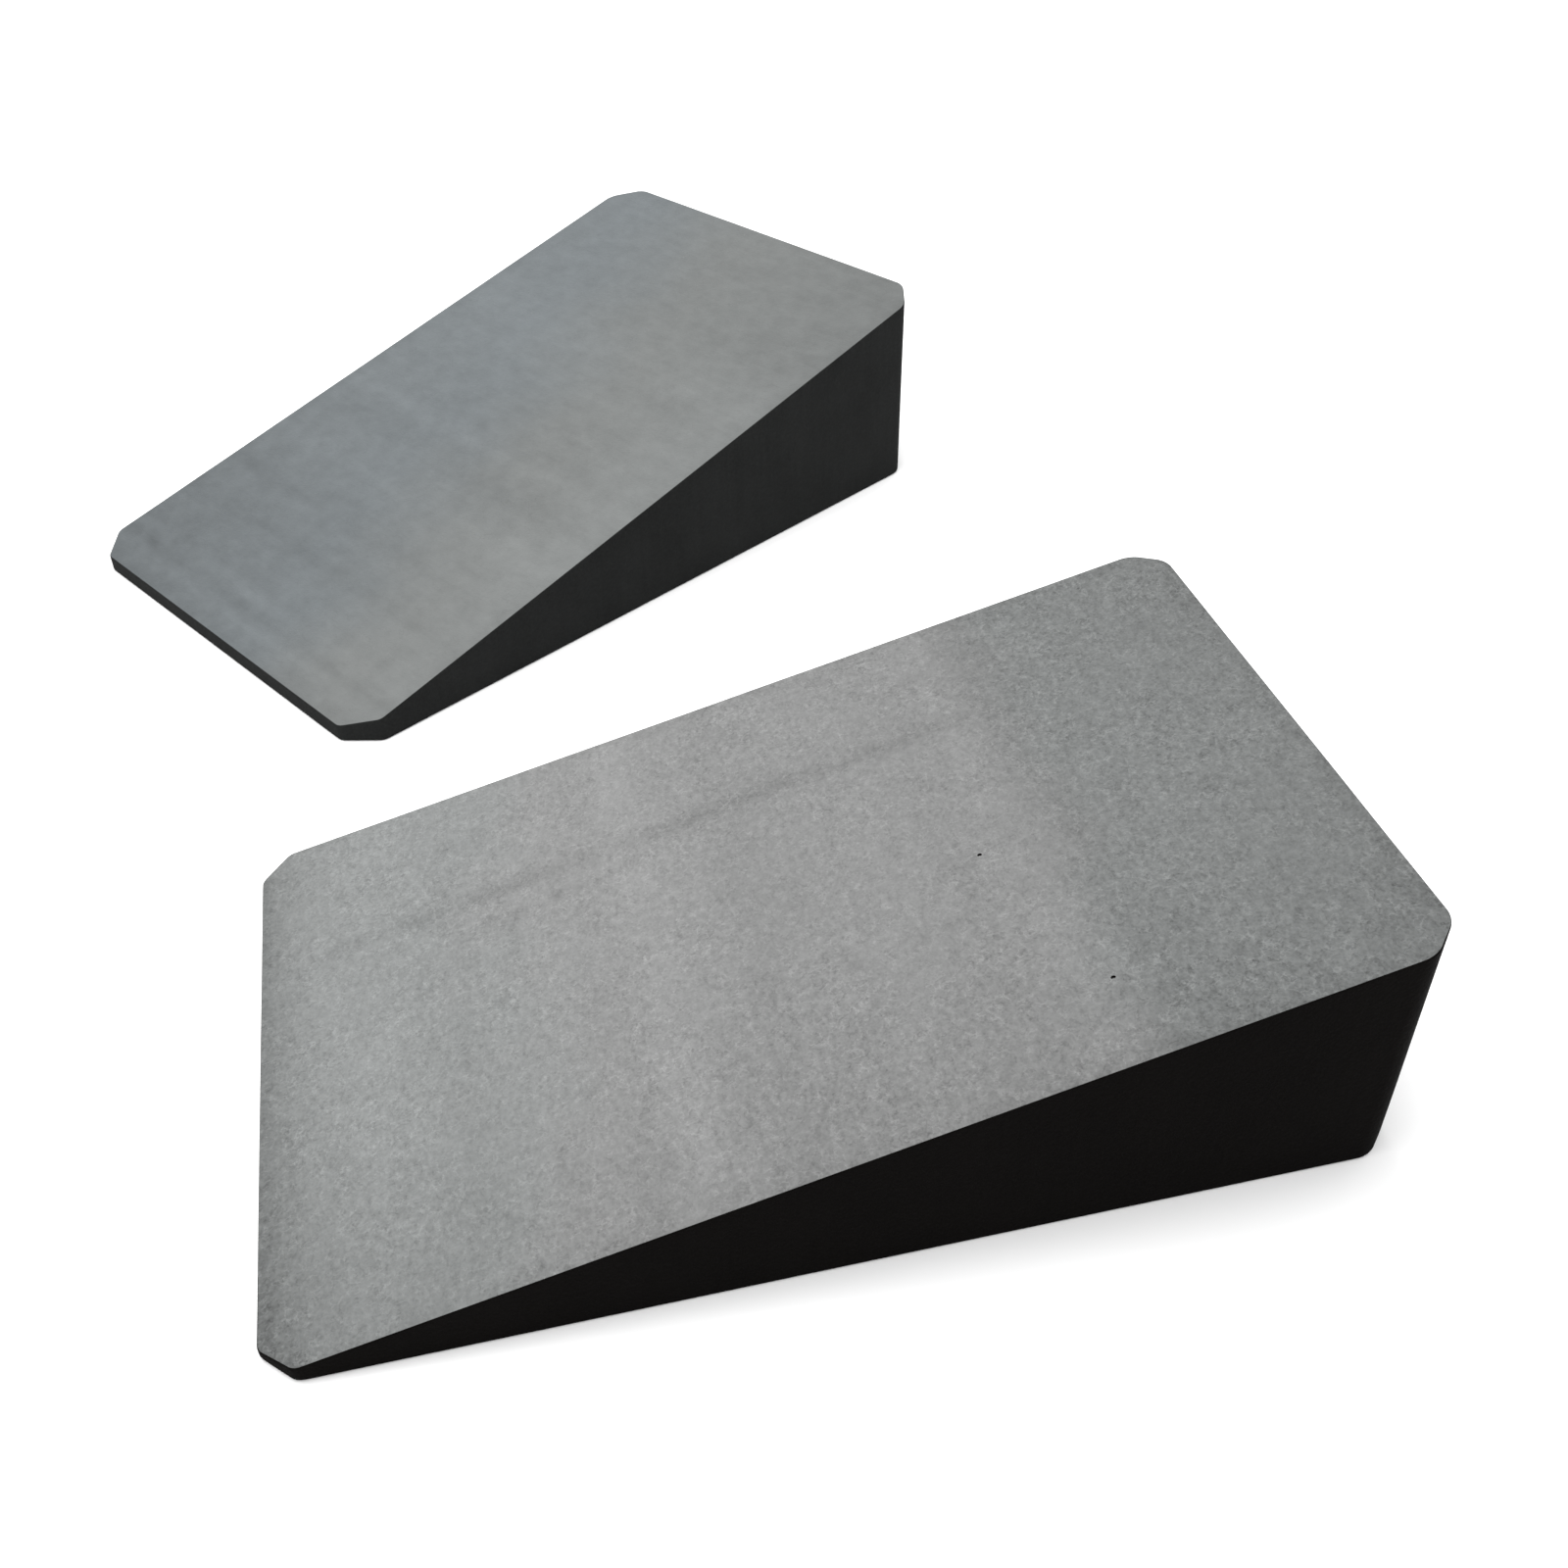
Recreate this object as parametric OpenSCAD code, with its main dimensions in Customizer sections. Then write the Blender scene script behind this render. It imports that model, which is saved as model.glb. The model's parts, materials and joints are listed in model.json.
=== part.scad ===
// A pair of solid foam door wedges, laid out loose on the floor.
// Each wedge is one block of foam. Its ramp rises from a thin toe, which goes under the door,
// to a tall heel. The four upright corners are cut off square to the floor at 45 degrees.
// The two wedges differ a little in height and in their corner cuts.
// Frame: +Z up, floor at Z = 0, origin at the middle of the front wedge's base,
// +X from the front wedge's toe to its heel.

/* [Both wedges] */
// Length of a wedge from toe to heel
wedge_l = 150; // [100:1:200]
// Width of a wedge
wedge_w = 95; // [60:1:130]

/* [Front wedge] */
// Height of the front wedge's heel
front_heel_h = 39.4; // [25:0.1:55]
// Thickness of the front wedge's toe
front_toe_h = 1.6; // [1:0.1:5]
// Length that each of its corner cuts takes off both edges
front_corner_cut = 4.5; // [2:0.1:12]

/* [Back wedge] */
// Height of the back wedge's heel
back_heel_h = 40.8; // [25:0.1:55]
// Thickness of the back wedge's toe
back_toe_h = 3.4; // [1:0.1:5]
// Length that each of its corner cuts takes off both edges
back_corner_cut = 5.6; // [2:0.1:12]

/* [Layout] */
// Turn of the back wedge, seen from above
back_turn = 32; // [0:1:60]
// Shift of the back wedge's front toe corner towards the heel of the front wedge
back_shift = 16; // [0:1:60]
// Clear floor between the front wedge's back side and the back wedge's front toe corner
back_gap = 27.5; // [5:0.5:120]

/* [Hidden] */
// Room by which a cutting shape runs past the block that it cuts
overrun = 1;

// Side view of the ramp: toe at the origin, heel at wedge_l
module ramp_profile(heel_h, toe_h) {
    polygon([[0, 0], [wedge_l, 0], [wedge_l, heel_h], [0, toe_h]]);
}

// Plan view of a block with its four corners cut off
module cut_corner_plan(cut) {
    polygon([
        [cut, 0], [wedge_l - cut, 0],
        [wedge_l, cut], [wedge_l, wedge_w - cut],
        [wedge_l - cut, wedge_w], [cut, wedge_w],
        [0, wedge_w - cut], [0, cut]
    ]);
}

// One wedge, with its front toe corner (before the corner cut) at the origin
module wedge(heel_h, toe_h, corner_cut) {
    intersection() {
        translate([0, wedge_w, 0])
            rotate([90, 0, 0])
                linear_extrude(height = wedge_w) ramp_profile(heel_h, toe_h);
        translate([0, 0, -overrun])
            linear_extrude(height = heel_h + 2 * overrun) cut_corner_plan(corner_cut);
    }
}

// The front wedge, centred on the origin
module front_wedge() {
    color("#8f9290")
        translate([-wedge_l / 2, -wedge_w / 2, 0])
            wedge(front_heel_h, front_toe_h, front_corner_cut);
}

// The second wedge, loose on the floor behind the first
module back_wedge() {
    color("#868b8b")
        translate([back_shift - wedge_l / 2, wedge_w / 2 + back_gap, 0])
            rotate([0, 0, back_turn])
                wedge(back_heel_h, back_toe_h, back_corner_cut);
}

front_wedge();
back_wedge();
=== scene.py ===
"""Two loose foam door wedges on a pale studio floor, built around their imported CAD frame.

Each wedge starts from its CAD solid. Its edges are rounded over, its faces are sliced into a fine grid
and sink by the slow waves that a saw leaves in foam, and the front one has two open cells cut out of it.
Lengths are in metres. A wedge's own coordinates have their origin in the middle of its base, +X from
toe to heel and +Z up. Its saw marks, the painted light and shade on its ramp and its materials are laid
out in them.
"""

import json
import math
from collections import namedtuple

import bmesh
import bpy
from mathutils import Matrix, Vector, noise


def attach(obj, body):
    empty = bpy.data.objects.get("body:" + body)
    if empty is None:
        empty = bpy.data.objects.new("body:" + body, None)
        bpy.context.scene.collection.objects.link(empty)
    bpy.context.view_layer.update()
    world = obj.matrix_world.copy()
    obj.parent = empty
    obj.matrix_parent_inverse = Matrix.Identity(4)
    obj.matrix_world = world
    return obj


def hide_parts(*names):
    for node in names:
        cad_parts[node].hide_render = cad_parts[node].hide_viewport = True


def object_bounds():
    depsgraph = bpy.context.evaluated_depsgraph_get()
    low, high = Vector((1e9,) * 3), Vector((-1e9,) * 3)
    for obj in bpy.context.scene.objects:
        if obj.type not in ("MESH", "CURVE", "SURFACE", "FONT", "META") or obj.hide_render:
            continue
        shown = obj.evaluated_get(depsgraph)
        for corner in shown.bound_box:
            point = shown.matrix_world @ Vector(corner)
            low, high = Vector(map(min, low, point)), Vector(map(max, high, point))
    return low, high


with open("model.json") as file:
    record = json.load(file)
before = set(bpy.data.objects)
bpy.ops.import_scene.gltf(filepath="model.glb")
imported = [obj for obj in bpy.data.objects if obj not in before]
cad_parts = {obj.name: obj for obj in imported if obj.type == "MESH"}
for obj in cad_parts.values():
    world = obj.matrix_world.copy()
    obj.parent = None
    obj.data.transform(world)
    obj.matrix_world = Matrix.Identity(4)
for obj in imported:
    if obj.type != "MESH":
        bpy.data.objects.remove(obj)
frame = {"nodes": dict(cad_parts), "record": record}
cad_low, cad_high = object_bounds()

MM = 0.001

# Wedge geometry
TOE_CORNER_ROUND = 0.8 * MM  # upright edges of the corner cuts
HEEL_CORNER_ROUND = 1.6 * MM  # the same at the heel, which is worn rounder
RAMP_EDGE_ROUND = 0.3 * MM  # outline of the ramp, which the saw left crisp
BASE_EDGE_ROUND = 0.5 * MM
GRID_PITCH = 1.5 * MM
WAVE_DEPTH = 0.08 * MM  # slow waves across the ramp
SIDE_WAVE_DEPTH = 0.05 * MM
MARK_DEPTH = 0.9 * MM  # depth of a saw mark for each unit of its strength
CELL_RADIUS = 0.36 * MM  # an open cell, which shows as a pinhole

# Stage
FLOOR_HALF = 6  # half of the floor's side
FLOOR_GAP = 0.02 * MM  # keeps the floor from lying in the plane of the wedges' bases
CAMERA_PLACE = (-37.5 * MM, -164.5 * MM, 178.3 * MM)
CAMERA_YAW = math.radians(13.16)  # to the right of +Y
CAMERA_PITCH = math.radians(39.12)  # down from level
CAMERA_ROLL = math.radians(0.438)  # clockwise, seen from behind the camera
CAMERA_LENS = 37.46  # focal length in millimetres, on a sensor 36 mm wide
KEY_PLACE = (-0.09, 0.10, 0.40)

# Marks on the ramp, in millimetres in the wedge's own coordinates. Strength is the share of the ramp's
# brightness that a mark adds, or takes away when it is negative. The bands and streaks are partly saw
# marks and partly painted light and shade, of the glare across the ramp and of the saw's grooves. The
# soft areas in the last list are painted light and shade only: the glare and its falling off across the
# ramp.
Band = namedtuple("Band", "x half_width strength")  # across the whole width
Streak = namedtuple("Streak", "y slope half_width start end strength")  # lengthwise; y is at x = 0
# A patch is painted light or shade: a soft lighter or darker area standing in for the glare across the
# ramp and its falling off towards the edges.
Patch = namedtuple("Patch", "x y reach_x reach_y strength")  # a soft lighter or darker area
Marks = namedtuple("Marks", "bands streaks patches")

FRONT_MARKS = Marks(
    bands=[
        Band(-59, 5, 0.03),
        Band(-45, 3, -0.04),
        Band(-35, 30, 0.03),
        Band(-25, 2, -0.03),
        Band(-18, 4, 0.06),
        Band(-4, 5, -0.04),
        Band(32, 2.5, 0.03),
    ],
    streaks=[
        Streak(22.6, 0.025, 1.7, -72, 44, -0.13),
        Streak(17.8, 0.06, 1.0, -48, -12, -0.09),
        Streak(35.0, 0.0, 1.2, -60, -28, -0.06),
    ],
    patches=[
        Patch(-77, 0, 7, 1000, -0.28),
        Patch(77, 0, 6, 1000, -0.06),
        Patch(-75, -47, 22, 22, -0.10),
        Patch(0, -52, 160, 24, -0.11),
        Patch(85, 0, 75, 400, -0.15),
        Patch(80, 47, 45, 40, -0.05),
    ],
)
BACK_MARKS = Marks(
    bands=[
        Band(-70, 1.2, 0.07),
        Band(-67, 1.2, -0.07),
        Band(-64, 1.5, 0.05),
        Band(-51, 1.5, -0.04),
        Band(-41, 1.5, -0.05),
        Band(-28, 3, 0.05),
        Band(-17, 3, -0.05),
        Band(-10, 2, 0.05),
        Band(25, 3, 0.05),
    ],
    streaks=[],
    patches=[
        Patch(-75, 47, 45, 50, -0.21),
        Patch(-25, -47, 50, 22, 0.14),
        Patch(-80, -47, 30, 40, 0.04),
        Patch(75, 0, 45, 120, 0.06),
        Patch(75, 47, 50, 40, 0.05),
        Patch(75, -47, 35, 25, -0.10),
    ],
)


def mount(name):
    """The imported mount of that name."""
    return next(m for m in frame["record"]["mounts"] if m["name"] == name)


class Wedge:
    """Where one wedge lies and how large it is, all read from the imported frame."""

    def __init__(self, side):
        self.side = side
        self.node = side + "_wedge"
        self.slot = side + "_foam"
        downhill = Vector(mount(side + "_ramp")["axis"])
        turn = math.atan2(-downhill.y, -downhill.x)
        base = Vector(mount(side + "_base")["pos_m"])
        self.place = Matrix.Translation(base) @ Matrix.Rotation(turn, 4, "Z")
        self.ramp_normal = (self.place.to_3x3().inverted() @ downhill).normalized()
        self.ramp_middle = Vector((0, 0, mount(side + "_ramp")["pos_m"][2]))
        corners = [self.place.inverted() @ v.co for v in frame["nodes"][self.node].data.vertices]
        self.length = 2 * max(c.x for c in corners)
        self.width = 2 * max(c.y for c in corners)

    def below_ramp(self, place):
        """How far a place in the wedge's own coordinates is below the CAD ramp."""
        return (self.ramp_middle - place).dot(self.ramp_normal)

    def on_ramp(self, x, y):
        """The point of the CAD ramp above a place on the base."""
        slope = self.ramp_normal.x / self.ramp_normal.z
        return Vector((x, y, self.ramp_middle.z - slope * x))


# ---------------------------------------------------------------- wedge mesh


def cad_solid(wedge):
    """The CAD solid in the wedge's own coordinates, with one face for each flat side."""
    solid = bmesh.new()
    solid.from_mesh(frame["nodes"][wedge.node].data)
    solid.transform(wedge.place.inverted())
    bmesh.ops.remove_doubles(solid, verts=solid.verts, dist=0.01 * MM)
    bmesh.ops.dissolve_limit(
        solid, angle_limit=math.radians(1), verts=solid.verts, edges=solid.edges
    )
    bmesh.ops.recalc_face_normals(solid, faces=solid.faces)
    return solid


def round_over(solid, edges, radius, segments):
    """Rounds edges by taking that much off the faces on both sides."""
    bmesh.ops.bevel(
        solid,
        geom=edges,
        offset=radius,
        offset_type="OFFSET",
        segments=segments,
        profile=0.5,
        affect="EDGES",
        clamp_overlap=True,
    )


def is_upright(edge):
    along = edge.verts[1].co - edge.verts[0].co
    return abs(along.z) > 0.9 * along.length


def round_edges(solid):
    """Rounds the upright corners first, and then the outlines of the base and the ramp."""
    for end, radius in ((-1, TOE_CORNER_ROUND), (1, HEEL_CORNER_ROUND)):
        corners = [e for e in solid.edges if is_upright(e) and e.verts[0].co.x * end > 0]
        round_over(solid, corners, radius, 5)
    base = min(solid.faces, key=lambda f: f.normal.z)
    round_over(solid, list(base.edges), BASE_EDGE_ROUND, 3)
    ramp = max(solid.faces, key=lambda f: f.calc_area() * (f.normal.z > 0.5))
    round_over(solid, list(ramp.edges), RAMP_EDGE_ROUND, 3)


def slice_into_grid(solid, wedge):
    """Cuts every face along evenly spaced planes, so that the saw waves have points to move."""
    low = Vector((-wedge.length / 2, -wedge.width / 2, 0))
    for axis, reach in ((0, wedge.length), (1, wedge.width), (2, cad_high.z)):
        normal = Vector([float(k == axis) for k in range(3)])
        cuts = round(reach / GRID_PITCH)
        for cut in range(1, cuts):
            bmesh.ops.bisect_plane(
                solid,
                geom=[*solid.verts, *solid.edges, *solid.faces],
                plane_co=low + normal * reach * cut / cuts,
                plane_no=normal,
                dist=0.001 * MM,
            )


def bump_shape(distance, half_width):
    """1 at the middle of a mark, falling smoothly to 0 over about two half widths."""
    return math.exp(-((distance / half_width) ** 2))


def marks_depth(x, y, marks):
    """How far the narrow dark saw marks sink a point of the ramp."""
    bands = [b for b in marks.bands if b.half_width <= 3]
    strength = sum(-b.strength * bump_shape(x / MM - b.x, b.half_width) for b in bands)
    for s in marks.streaks:
        inside = min(x / MM - s.start, s.end - x / MM) > 0
        away = y / MM - s.y - s.slope * x / MM
        strength += -s.strength * bump_shape(away, s.half_width) * inside
    return MARK_DEPTH * max(strength, 0)


def ramp_wave(x, y, seed):
    """Depth of the saw's waves at a place on the ramp, from 0 to 1: ridges that run across the width."""
    slow = noise.noise(Vector((x / (11 * MM), y / (160 * MM), seed)))
    quick = noise.noise(Vector((x / (3.5 * MM), y / (70 * MM), seed + 7)))
    return 0.5 + 0.5 * (0.7 * slow + 0.3 * quick)


def side_wave(place, seed):
    """Depth of the slow unevenness of the cut sides, from 0 to 1."""
    return 0.5 + 0.5 * noise.noise(place / (14 * MM) + Vector((0, 0, seed)))


def wave_faces(solid, wedge, marks, seed):
    """Sinks the ramp and the sides a little below the CAD faces. The base stays flat on the floor."""
    solid.normal_update()
    moves = []
    for vert in solid.verts:
        x, y = vert.co.x, vert.co.y
        if vert.normal.z < -0.5:
            continue
        if vert.normal.dot(wedge.ramp_normal) > 0.9:
            depth = WAVE_DEPTH * ramp_wave(x, y, seed) + marks_depth(x, y, marks)
        else:
            depth = SIDE_WAVE_DEPTH * side_wave(vert.co, seed)
        moves.append((vert, vert.normal * -depth))
    for vert, move in moves:
        vert.co += move


def cut_cells(piece, places):
    """Takes small oval cells out of a piece with a boolean, which keeps its mesh closed."""
    balls = bmesh.new()
    for place in places:
        oval = Matrix.Translation(place) @ Matrix.Diagonal((1, 0.8, 1, 1))
        bmesh.ops.create_icosphere(balls, subdivisions=2, radius=CELL_RADIUS, matrix=oval)
    ball_mesh = bpy.data.meshes.new("cells")
    balls.to_mesh(ball_mesh)
    balls.free()
    cutter = bpy.data.objects.new("cells", ball_mesh)
    bpy.context.scene.collection.objects.link(cutter)
    cut = piece.modifiers.new("cells", "BOOLEAN")
    cut.operation = "DIFFERENCE"
    cut.solver = "EXACT"
    cut.object = cutter
    evaluated = piece.evaluated_get(bpy.context.evaluated_depsgraph_get())
    finished = bpy.data.meshes.new_from_object(evaluated)
    piece.modifiers.remove(cut)
    piece.data = finished
    bpy.data.objects.remove(cutter)


def sort_faces(mesh, wedge):
    """Gives the ramp the first material and all other faces the second."""
    for face in mesh.polygons:
        facing = face.normal.dot(wedge.ramp_normal) > 0.85
        near = wedge.below_ramp(face.center) < 2 * WAVE_DEPTH + RAMP_EDGE_ROUND
        face.use_smooth = True
        face.material_index = 0 if facing and near else 1


def note_own_places(mesh):
    """Stores each point's place in the wedge's own coordinates, which the materials read."""
    own = mesh.attributes.new("own_place", "FLOAT_VECTOR", "POINT")
    for vert, value in zip(mesh.vertices, own.data):
        value.vector = vert.co


def make_wedge(wedge, marks, pinholes, seed, materials):
    """One wedge as one piece. Pinholes are places on its ramp, in millimetres."""
    solid = cad_solid(wedge)
    round_edges(solid)
    slice_into_grid(solid, wedge)
    wave_faces(solid, wedge, marks, seed)
    name = wedge.side + "_foam_block"
    mesh = bpy.data.meshes.new(name)
    solid.to_mesh(mesh)
    solid.free()
    piece = bpy.data.objects.new(name, mesh)
    bpy.context.scene.collection.objects.link(piece)
    if pinholes:
        cut_cells(piece, [wedge.on_ramp(x * MM, y * MM) for x, y in pinholes])
    sort_faces(piece.data, wedge)
    note_own_places(piece.data)
    piece.data.transform(wedge.place)
    for material in materials:
        piece.data.materials.append(material)
    crisp = piece.modifiers.new("crisp_edges", "WEIGHTED_NORMAL")
    crisp.mode = "FACE_AREA"
    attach(piece, wedge.node)
    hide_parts(wedge.node)


# ----------------------------------------------------------------- materials


class Shades:
    """One material's node tree, with short calls that add nodes and link them.

    A value is a number, a colour or vector, or the output of another node.
    """

    def __init__(self, name):
        self.material = bpy.data.materials.new(name)
        self.material.use_nodes = True
        self.tree = self.material.node_tree
        self.shader = self.tree.nodes["Principled BSDF"]
        place = self.tree.nodes.new("ShaderNodeAttribute")
        place.attribute_name = "own_place"
        self.place = place.outputs["Vector"]
        parts = self.tree.nodes.new("ShaderNodeSeparateXYZ")
        self.feed(parts.inputs[0], self.place)
        self.x, self.y = parts.outputs[:2]

    def feed(self, socket, value):
        if isinstance(value, bpy.types.NodeSocket):
            self.tree.links.new(value, socket)
        else:
            socket.default_value = value

    def math(self, operation, *values):
        node = self.tree.nodes.new("ShaderNodeMath")
        node.operation = operation
        for socket, value in zip(node.inputs, values):
            self.feed(socket, value)
        return node.outputs[0]

    def add(self, *values):
        total = values[0]
        for value in values[1:]:
            total = self.math("ADD", total, value)
        return total

    def scaled_place(self, sizes):
        """The own place divided by a size along each axis."""
        node = self.tree.nodes.new("ShaderNodeVectorMath")
        node.operation = "MULTIPLY"
        self.feed(node.inputs[0], self.place)
        node.inputs[1].default_value = [1 / size for size in sizes]
        return node.outputs[0]

    def noise(self, sizes, detail=2.0, roughness=0.5):
        """Cloudy noise around 0, with features of those sizes along x, y and z."""
        node = self.tree.nodes.new("ShaderNodeTexNoise")
        self.feed(node.inputs["Vector"], self.scaled_place(sizes))
        node.inputs["Scale"].default_value = 1
        node.inputs["Detail"].default_value = detail
        node.inputs["Roughness"].default_value = roughness
        return self.math("SUBTRACT", node.outputs[0], 0.5)

    def cells(self, size):
        """Distance from the middle of the nearest foam cell, about 0 to 1."""
        node = self.tree.nodes.new("ShaderNodeTexVoronoi")
        self.feed(node.inputs["Vector"], self.scaled_place([size] * 3))
        node.inputs["Scale"].default_value = 1
        return node.outputs["Distance"]

    def hump(self, along, middle, half_width):
        """1 at the middle, falling smoothly to 0 over about two half widths."""
        away = self.math("SUBTRACT", along, middle * MM)
        share = self.math("DIVIDE", away, half_width * MM)
        return self.math("EXPONENT", self.math("MULTIPLY", self.math("MULTIPLY", share, share), -1))

    def span(self, value, start, end):
        """0 before start and 1 after end, smooth in between. End may be the lower one."""
        node = self.tree.nodes.new("ShaderNodeMapRange")
        node.interpolation_type = "SMOOTHSTEP"
        self.feed(node.inputs["Value"], value)
        low, high = sorted((start, end))
        node.inputs["From Min"].default_value = low
        node.inputs["From Max"].default_value = high
        node.inputs["To Min"].default_value = float(start > end)
        node.inputs["To Max"].default_value = float(start < end)
        return node.outputs[0]

    def step(self, along, start, end):
        """The same for a length, with its start and end in millimetres."""
        return self.span(along, start * MM, end * MM)

    def times(self, *values):
        total = values[0]
        for value in values[1:]:
            total = self.math("MULTIPLY", total, value)
        return total

    def mix(self, share, first, second):
        node = self.tree.nodes.new("ShaderNodeMix")
        node.data_type = "RGBA"
        self.feed(node.inputs[0], share)
        self.feed(node.inputs[6], (*first, 1))
        self.feed(node.inputs[7], (*second, 1))
        return node.outputs[2]

    def set_color(self, color, tone):
        """The base colour is a colour scaled by tone, which is about 1."""
        node = self.tree.nodes.new("ShaderNodeVectorMath")
        node.operation = "SCALE"
        self.feed(node.inputs[0], color)
        self.feed(node.inputs["Scale"], tone)
        self.feed(self.shader.inputs["Base Color"], node.outputs[0])

    def set_bump(self, height, depth):
        node = self.tree.nodes.new("ShaderNodeBump")
        self.feed(node.inputs["Height"], height)
        node.inputs["Distance"].default_value = depth
        self.feed(self.shader.inputs["Normal"], node.outputs[0])


def border_share(shades, wedge, width):
    """1 at the ramp's outline, falling to 0 at that many millimetres inside it."""
    ends = shades.math("SUBTRACT", wedge.length / 2, shades.math("ABSOLUTE", shades.x))
    edges = shades.math("SUBTRACT", wedge.width / 2, shades.math("ABSOLUTE", shades.y))
    return shades.step(shades.math("MINIMUM", ends, edges), width, 0)


def flecks(s, size, spread):
    """Short curved wrinkles, 1 along each one, with clear foam between their clusters."""
    bends = s.noise([size] * 3, detail=2)
    line = s.math("EXPONENT", s.times(bends, bends, -700))
    pieces = s.span(s.noise([spread, 1.4 * spread, 1.4 * spread], detail=2), -0.08, 0.10)
    return s.times(line, pieces)


def foam_grain(s):
    """Mottle, dark creases and light torn edges of sliced foam, around 0."""
    mottle = s.noise([0.9 * MM, 1.2 * MM, 1.2 * MM], detail=4, roughness=0.7)
    creases = flecks(s, 1.2 * MM, 1.3 * MM)
    edges = flecks(s, 1.1 * MM, 1.5 * MM)
    return s.add(s.times(mottle, 0.85), s.times(creases, -0.17), s.times(edges, 0.27))


def cool_ends(s):
    """1 towards the toe and the heel, 0 in the middle."""
    return s.step(s.math("ABSOLUTE", s.add(s.x, s.times(s.noise([25 * MM] * 3), 40 * MM))), 28, 48)


def cool_back(s):
    """1 towards the toe and the back edge, 0 towards the heel's front corner."""
    return s.step(s.add(s.y, s.times(s.x, -0.27), s.times(s.noise([25 * MM] * 3), 30 * MM)), -22, 18)


def marks_tone(s, marks, patchy):
    """The share of brightness that all marks add, much of it painted light and shade. Patchy varies the
    bands and the streaks along them.
    """
    tones = []
    for band in marks.bands:
        tones.append(s.times(s.hump(s.x, band.x, band.half_width), patchy, band.strength))
    for streak in marks.streaks:
        ends = s.times(
            s.step(s.x, streak.start, streak.start + 8),
            s.step(s.x, streak.end, streak.end - 20),
        )
        wander = s.times(s.noise([7 * MM, 50 * MM, 50 * MM]), 3 * MM)
        level = s.add(s.y, s.times(s.x, -streak.slope), wander)
        line = s.hump(level, streak.y, streak.half_width)
        tones.append(s.times(line, patchy, ends, streak.strength))
    for patch in marks.patches:
        soft = s.times(s.hump(s.x, patch.x, patch.reach_x), s.hump(s.y, patch.y, patch.reach_y))
        tones.append(s.times(soft, patch.strength))
    return s.add(*tones)


# How the foam of a ramp looks: its two colours and a function for the share of the cool one, then the
# strengths of its fine grain, its soft blotches and its saw lines, and the tone of its heel end.
Look = namedtuple("Look", "warm cool cool_share grain blotches saw_lines heel_tone")

FRONT_LOOK = Look(
    warm=(0.1535, 0.1545, 0.1535),
    cool=(0.1500, 0.1550, 0.1535),
    cool_share=cool_ends,
    grain=0.84,
    blotches=0.22,
    saw_lines=0.09,
    heel_tone=-0.11,
)
BACK_LOOK = Look(
    warm=(0.1100, 0.1147, 0.1132),
    cool=(0.1000, 0.1101, 0.1152),
    cool_share=cool_back,
    grain=0.09,
    blotches=0.38,
    saw_lines=0.11,
    heel_tone=-0.03,
)


def ramp_material(wedge, marks, look):
    """Sliced foam: grain, blotches, saw lines across the width and the wedge's own marks, which carry
    painted light and shade, and a painted shade along the ramp's outline.
    """
    s = Shades(wedge.side + "_sliced_foam")
    cells = s.math("SUBTRACT", s.cells(0.45 * MM), 0.5)
    clusters = s.add(1.0, s.times(s.noise([14 * MM] * 3), 1.2))
    grain = s.times(s.add(foam_grain(s), s.times(cells, 0.2)), clusters)
    blotches = s.noise([3.5 * MM, 5 * MM, 5 * MM], detail=3, roughness=0.65)
    lines = s.noise([1.3 * MM, 14 * MM, 14 * MM], detail=2, roughness=0.6)
    slow_lines = s.noise([9 * MM, 90 * MM, 90 * MM], detail=1)
    patchy = s.add(1.0, s.times(s.noise([6 * MM, 10 * MM, 10 * MM]), 3.0))
    ragged = s.add(s.x, s.times(s.noise([6 * MM] * 3, detail=3), 9 * MM))
    tone = s.add(
        1.0,
        s.times(grain, look.grain),
        s.times(blotches, look.blotches),
        s.times(s.add(lines, slow_lines), look.saw_lines),
        marks_tone(s, marks, patchy),
        s.times(s.step(ragged, 34, 40), look.heel_tone),
        # painted shade: darker within 4 mm of the ramp's outline
        s.times(border_share(s, wedge, 4), -0.05),
    )
    s.set_color(s.mix(look.cool_share(s), look.warm, look.cool), tone)
    s.set_bump(s.add(grain, s.times(lines, 0.4)), 0.15 * MM)
    s.feed(s.shader.inputs["Roughness"], s.add(0.85, s.times(grain, 0.15)))
    s.shader.inputs["Specular IOR Level"].default_value = 0.15
    s.shader.inputs["Sheen Weight"].default_value = 0.03
    return s.material


def side_material(wedge, color):
    """Skin of the cut sides: nearly black, close-celled, with faint upright knife lines. The near-black
    is partly the skin's own colour and partly painted shade of sides turned away from the light.
    """
    s = Shades(wedge.side + "_cut_foam")
    cells = s.math("SUBTRACT", s.cells(0.5 * MM), 0.5)
    fine = s.noise([0.7 * MM] * 3, detail=3, roughness=0.6)
    cloudy = s.noise([9 * MM] * 3, detail=2)
    lines = s.noise([1.0 * MM, 1.0 * MM, 16 * MM], detail=2)
    tone = s.add(
        1.0,
        s.times(cells, 0.25),
        s.times(fine, 0.4),
        s.times(cloudy, 0.4),
        s.times(lines, 0.2),
    )
    s.set_color(color, tone)
    s.set_bump(s.add(s.times(cells, 0.5), fine, s.times(lines, 0.5)), 0.1 * MM)
    s.feed(s.shader.inputs["Roughness"], s.add(0.8, s.times(fine, 0.2)))
    s.shader.inputs["Specular IOR Level"].default_value = 0.02
    return s.material


# --------------------------------------------------------------------- stage


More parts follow.
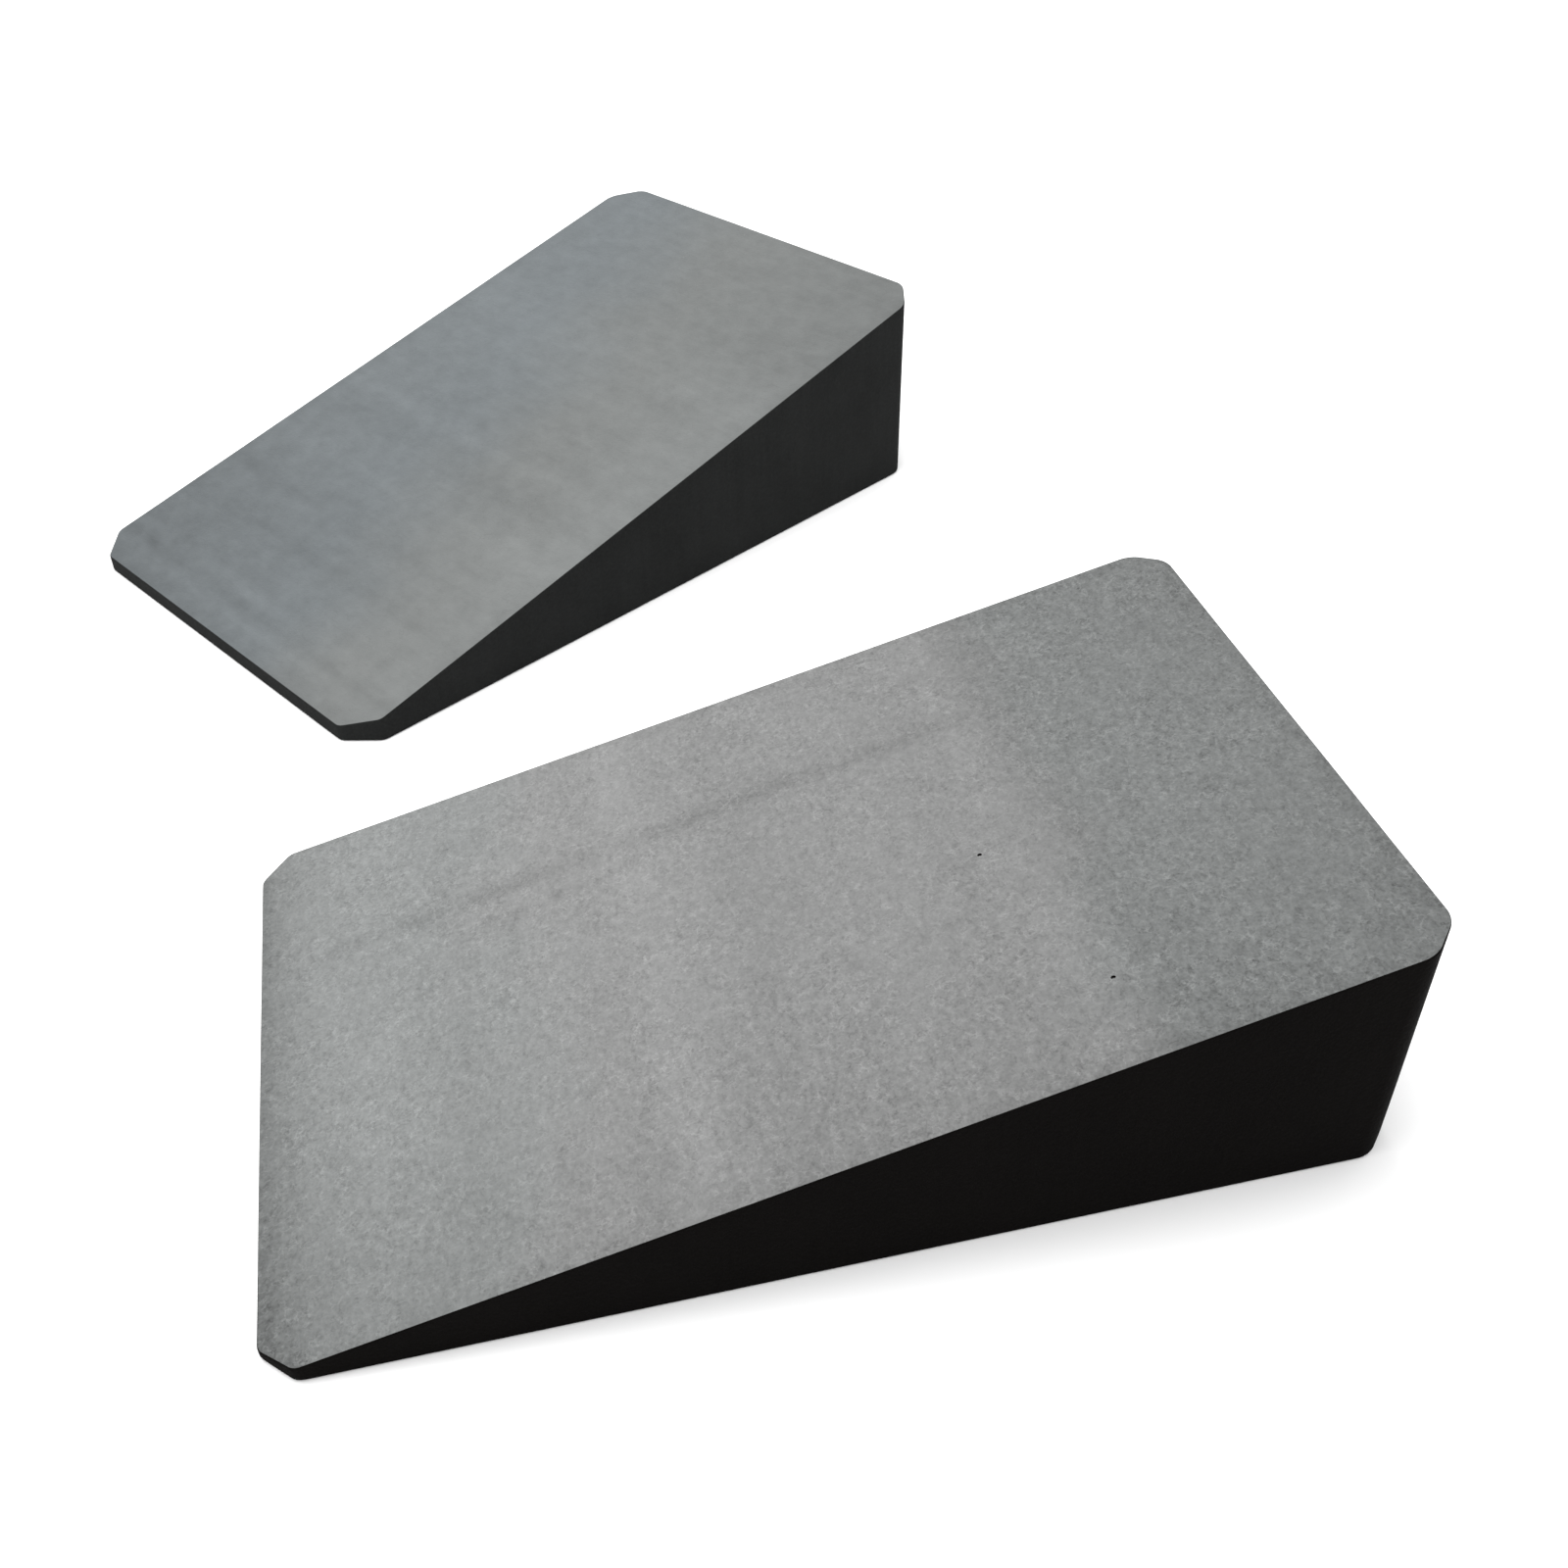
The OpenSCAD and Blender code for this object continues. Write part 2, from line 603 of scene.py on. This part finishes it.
def make_floor():
    floor_mesh = bpy.data.meshes.new("floor")
    grid = bmesh.new()
    bmesh.ops.create_grid(grid, x_segments=1, y_segments=1, size=FLOOR_HALF)
    grid.to_mesh(floor_mesh)
    grid.free()
    floor = bpy.data.objects.new("floor", floor_mesh)
    floor.location.z = cad_low.z - FLOOR_GAP
    bpy.context.scene.collection.objects.link(floor)
    paint = bpy.data.materials.new("floor_paint")
    paint.use_nodes = True
    shader = paint.node_tree.nodes["Principled BSDF"]
    shader.inputs["Base Color"].default_value = (0.92, 0.92, 0.92, 1)
    shader.inputs["Roughness"].default_value = 1
    shader.inputs["Specular IOR Level"].default_value = 0
    floor_mesh.materials.append(paint)


def make_camera():
    data = bpy.data.cameras.new("camera")
    data.sensor_width = 36
    data.lens = CAMERA_LENS
    data.clip_start = 10 * MM
    camera = bpy.data.objects.new("camera", data)
    ahead = Vector((
        math.sin(CAMERA_YAW) * math.cos(CAMERA_PITCH),
        math.cos(CAMERA_YAW) * math.cos(CAMERA_PITCH),
        -math.sin(CAMERA_PITCH),
    ))
    level = Vector((math.cos(CAMERA_YAW), -math.sin(CAMERA_YAW), 0))
    right = level * math.cos(CAMERA_ROLL) + ahead.cross(level) * math.sin(CAMERA_ROLL)
    up = right.cross(ahead)
    turn = Matrix((right, up, -ahead)).transposed()
    camera.matrix_world = Matrix.Translation(CAMERA_PLACE) @ turn.to_4x4()
    bpy.context.scene.collection.objects.link(camera)
    bpy.context.scene.camera = camera


def make_light():
    world = bpy.data.worlds.new("studio")
    world.use_nodes = True
    world.node_tree.nodes["Background"].inputs["Color"].default_value = (1, 1, 1, 1)
    world.node_tree.nodes["Background"].inputs["Strength"].default_value = 1.3
    bpy.context.scene.world = world
    key = bpy.data.lights.new("key", "AREA")
    key.shape = "DISK"
    key.size = 0.40
    key.energy = 1.75
    lamp = bpy.data.objects.new("key", key)
    lamp.location = KEY_PLACE
    lamp.visible_camera = False
    bpy.context.scene.collection.objects.link(lamp)
    bpy.context.scene.view_settings.view_transform = "Standard"


front = Wedge("front")
front_materials = [
    ramp_material(front, FRONT_MARKS, FRONT_LOOK),
    # painted shade: part of the sides' near-black colour, set darker on this wedge than on the back one
    side_material(front, (0.0027, 0.0023, 0.0021)),
]
make_wedge(front, FRONT_MARKS, [(27.5, -5.5), (35.5, -33.7)], 1, front_materials)

back = Wedge("back")
back_materials = [
    ramp_material(back, BACK_MARKS, BACK_LOOK),
    # painted shade: part of the sides' near-black colour
    side_material(back, (0.0128, 0.0133, 0.0131)),
]
make_wedge(back, BACK_MARKS, [], 5, back_materials)

make_floor()
make_camera()
make_light()
